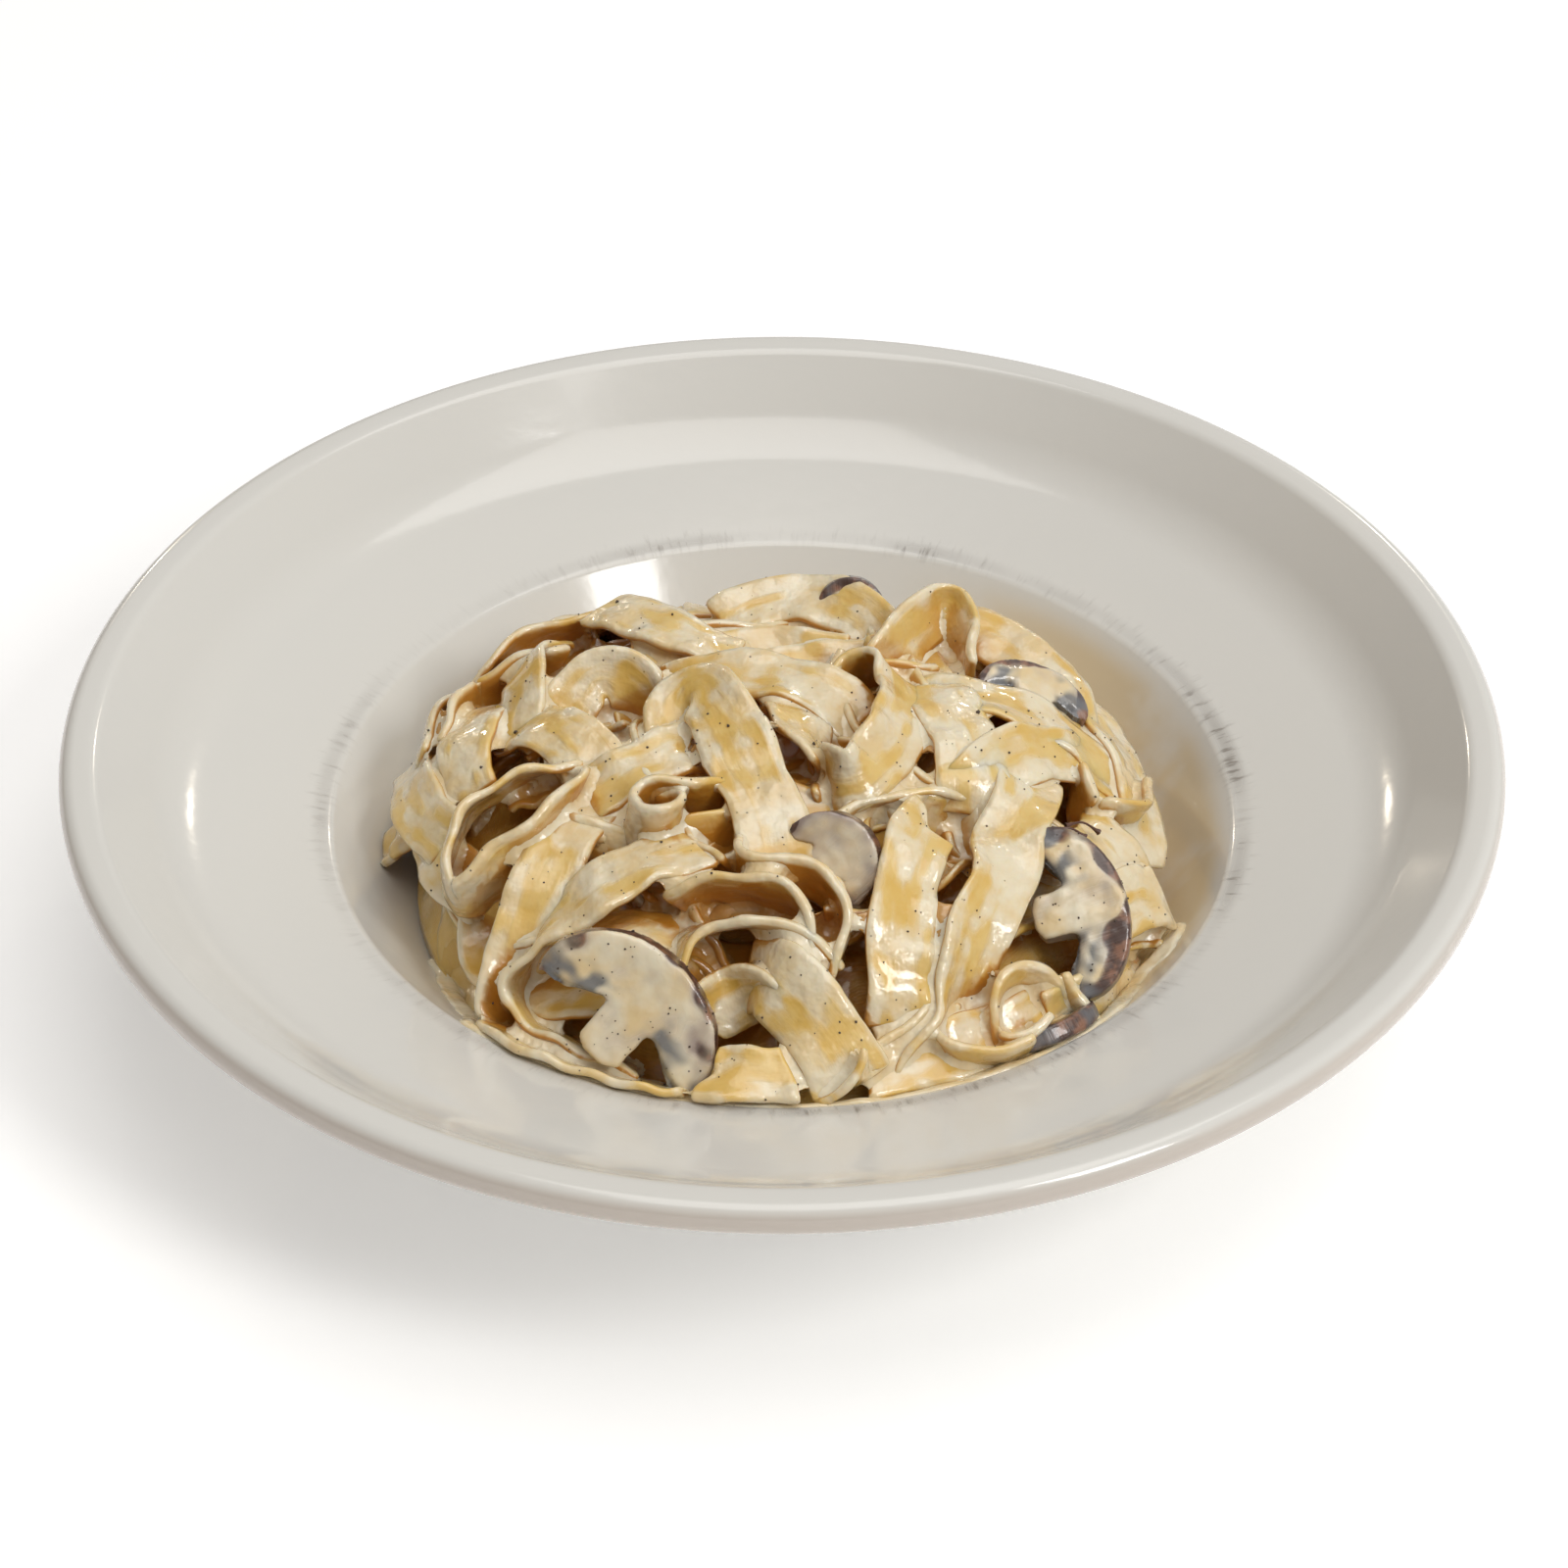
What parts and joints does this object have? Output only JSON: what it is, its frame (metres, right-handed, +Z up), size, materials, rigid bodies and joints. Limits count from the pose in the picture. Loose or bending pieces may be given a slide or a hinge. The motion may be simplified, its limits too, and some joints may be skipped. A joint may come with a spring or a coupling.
{
  "type": "pasta bowl with fettuccine alfredo",
  "caption": "Wide-rimmed pale stoneware pasta bowl holding a heap of fettuccine in cream sauce with sliced mushrooms.",
  "frame": {"origin": "middle of the foot ring, on the plane the bowl stands on", "axes": "+Z up through the middle of the bowl, -Y towards the side the picture was taken from, +X to the picture's right"},
  "size_m": [0.26, 0.26, 0.0571],
  "materials": {
    "glazed_stoneware": "gloss glaze",
    "cream_sauce": "wet gloss",
    "fettuccine": "wet satin",
    "sliced_mushroom": "wet satin"
  },
  "bodies": {
    "root": {"pasta_bowl": "glazed_stoneware", "cream_sauce": "cream_sauce", "noodle_heap": "fettuccine", "mushroom_slice_front_left": "sliced_mushroom", "mushroom_slice_right": "sliced_mushroom", "mushroom_slice_middle": "sliced_mushroom", "mushroom_slice_top_right": "sliced_mushroom", "mushroom_slice_back": "sliced_mushroom", "mushroom_slice_low_right": "sliced_mushroom", "mushroom_slice_low_middle": "sliced_mushroom"}
  },
  "joints": []
}
